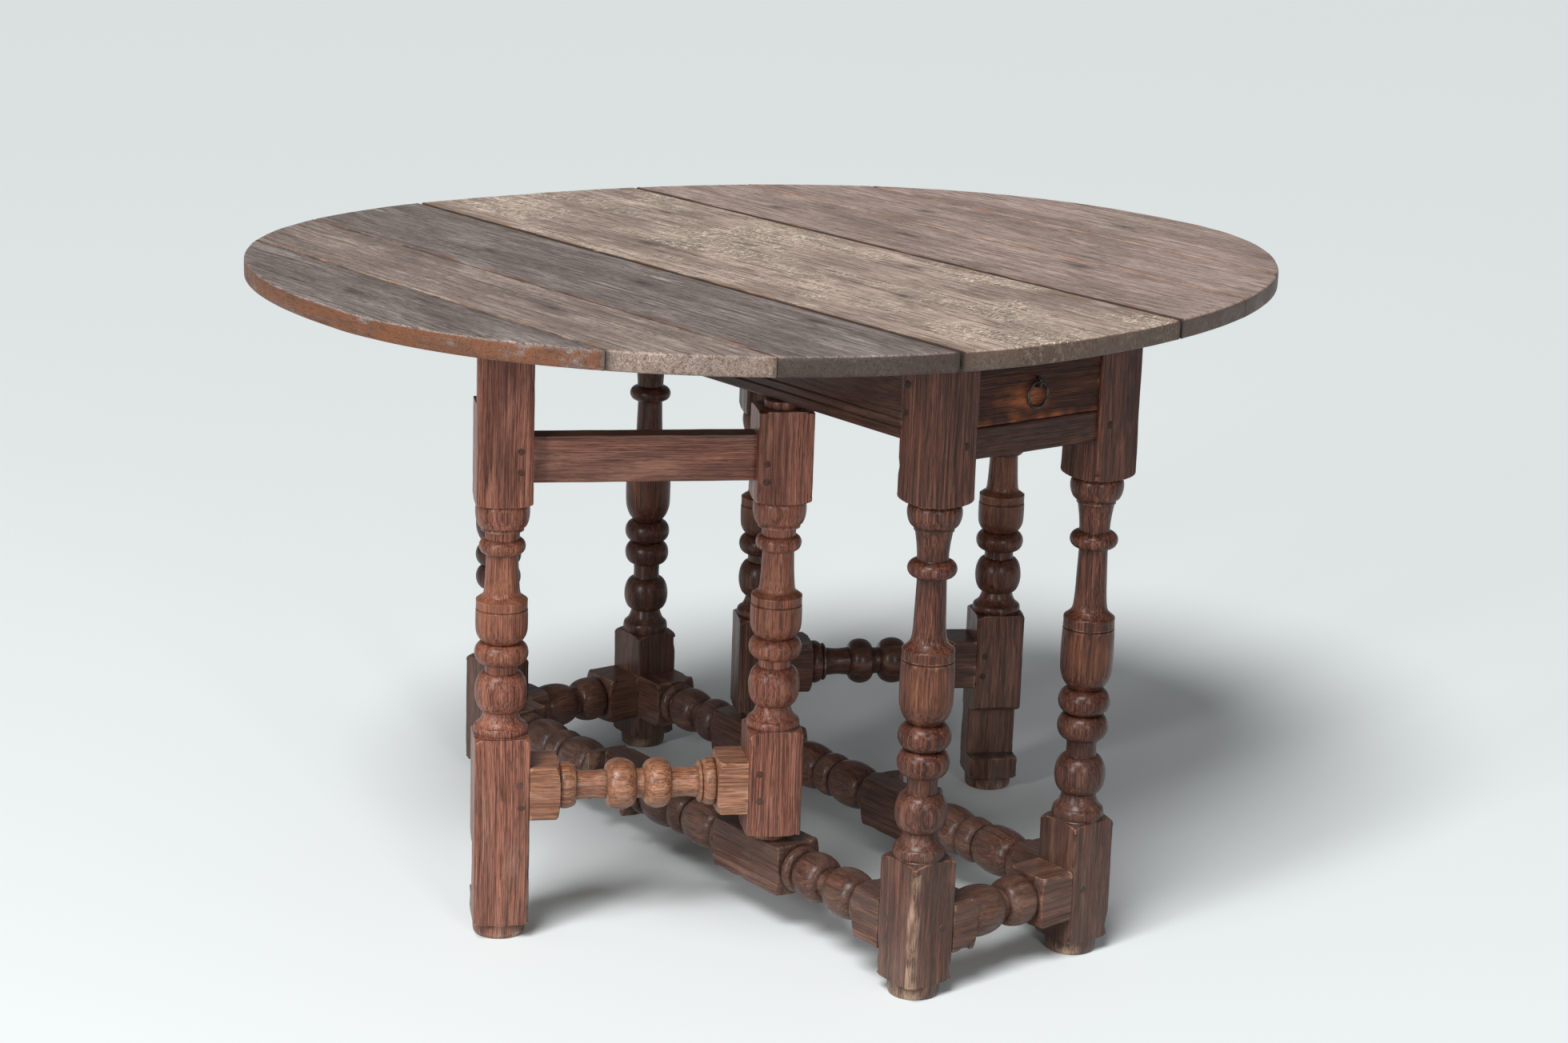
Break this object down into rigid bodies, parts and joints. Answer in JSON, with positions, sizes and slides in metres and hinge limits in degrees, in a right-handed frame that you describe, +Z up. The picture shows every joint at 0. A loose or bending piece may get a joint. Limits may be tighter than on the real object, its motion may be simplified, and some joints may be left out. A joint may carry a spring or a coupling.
{
  "type": "gateleg table",
  "caption": "Oval drop-leaf table on turned legs, with swinging gates that carry the leaves and a small end drawer with a ring pull.",
  "frame": {"origin": "on the floor under the middle of the oval top", "axes": "+Z up; X runs across the two leaves, the left-hand leaf on -X; Y runs along the boards and the frame, and the drawer opens towards -Y"},
  "size_m": [1.248, 1.0739, 0.731],
  "materials": {
    "frame_oak": "waxed dark oak, satin",
    "gate_oak": "waxed red-brown oak, satin",
    "top_oak": "weathered grey-brown oak, worn wax",
    "drawer_oak": "worn orange-brown oak, satin",
    "inner_oak": "dry unfinished oak, matt",
    "iron": "dark hand-forged wrought iron"
  },
  "bodies": {
    "frame": {"leg_front_left": "frame_oak", "leg_front_right": "frame_oak", "leg_back_left": "frame_oak", "leg_back_right": "frame_oak", "peg_front_left_1": "frame_oak", "peg_front_left_2": "frame_oak", "peg_front_right_1": "frame_oak", "peg_front_right_2": "frame_oak", "peg_back_left_1": "frame_oak", "peg_back_left_2": "frame_oak", "peg_back_right_1": "frame_oak", "peg_back_right_2": "frame_oak", "side_apron_left": "frame_oak", "long_stretcher_left": "frame_oak", "drawer_runner_left": "inner_oak", "side_apron_right": "frame_oak", "long_stretcher_right": "frame_oak", "drawer_runner_right": "inner_oak", "end_stretcher_front": "frame_oak", "end_stretcher_back": "frame_oak", "drawer_rail": "frame_oak", "back_apron": "frame_oak", "top_centre_board": "top_oak", "hinge_left_front_fixed_plate": "iron", "hinge_left_front_pin": "iron", "hinge_left_back_fixed_plate": "iron", "hinge_left_back_pin": "iron", "hinge_right_front_fixed_plate": "iron", "hinge_right_front_pin": "iron", "hinge_right_back_fixed_plate": "iron", "hinge_right_back_pin": "iron"},
    "gate_left": {"gate_left_pivot_post": "gate_oak", "gate_left_outer_leg": "gate_oak", "gate_left_top_rail": "gate_oak", "gate_left_stretcher": "gate_oak"},
    "gate_right": {"gate_right_pivot_post": "gate_oak", "gate_right_outer_leg": "gate_oak", "gate_right_top_rail": "gate_oak", "gate_right_stretcher": "gate_oak"},
    "leaf_left": {"leaf_left_inner_board": "top_oak", "leaf_left_middle_board": "top_oak", "leaf_left_outer_board": "top_oak", "hinge_left_front_leaf_plate": "iron", "hinge_left_back_leaf_plate": "iron"},
    "leaf_right": {"leaf_right_inner_board": "top_oak", "leaf_right_middle_board": "top_oak", "leaf_right_outer_board": "top_oak", "hinge_right_front_leaf_plate": "iron", "hinge_right_back_leaf_plate": "iron"},
    "drawer": {"drawer_front": "drawer_oak", "drawer_side_left": "inner_oak", "drawer_side_right": "inner_oak", "drawer_back": "inner_oak", "drawer_bottom": "inner_oak", "pull_staple": "iron"},
    "pull_ring": {"pull_ring": "iron"}
  },
  "joints": [
    {"name": "gate_left_hinge", "type": "hinge", "parent": "frame", "child": "gate_left", "pos_m": [-0.154, -0.199, 0.36], "axis": [0, 0, 1], "range_deg": [-62.5, 27]},
    {"name": "gate_right_hinge", "type": "hinge", "parent": "frame", "child": "gate_right", "pos_m": [0.102, 0.163, 0.36], "axis": [0, 0, 1], "range_deg": [-62.5, 27]},
    {"name": "leaf_left_hinge", "type": "hinge", "parent": "frame", "child": "leaf_left", "pos_m": [-0.181, -0.025, 0.7047], "axis": [0, 1, 0], "range_deg": [0, 4]},
    {"name": "leaf_right_hinge", "type": "hinge", "parent": "frame", "child": "leaf_right", "pos_m": [0.143, -0.025, 0.7047], "axis": [0, -1, 0], "range_deg": [0, 4]},
    {"name": "drawer_slide", "type": "slide", "parent": "frame", "child": "drawer", "axis": [0, -1, 0], "range_m": [0, 0.3]},
    {"name": "ring_hinge", "type": "hinge", "parent": "drawer", "child": "pull_ring", "pos_m": [-0.031, -0.4775, 0.6747], "axis": [-1, 0, 0], "range_deg": [0, 90]}
  ]
}
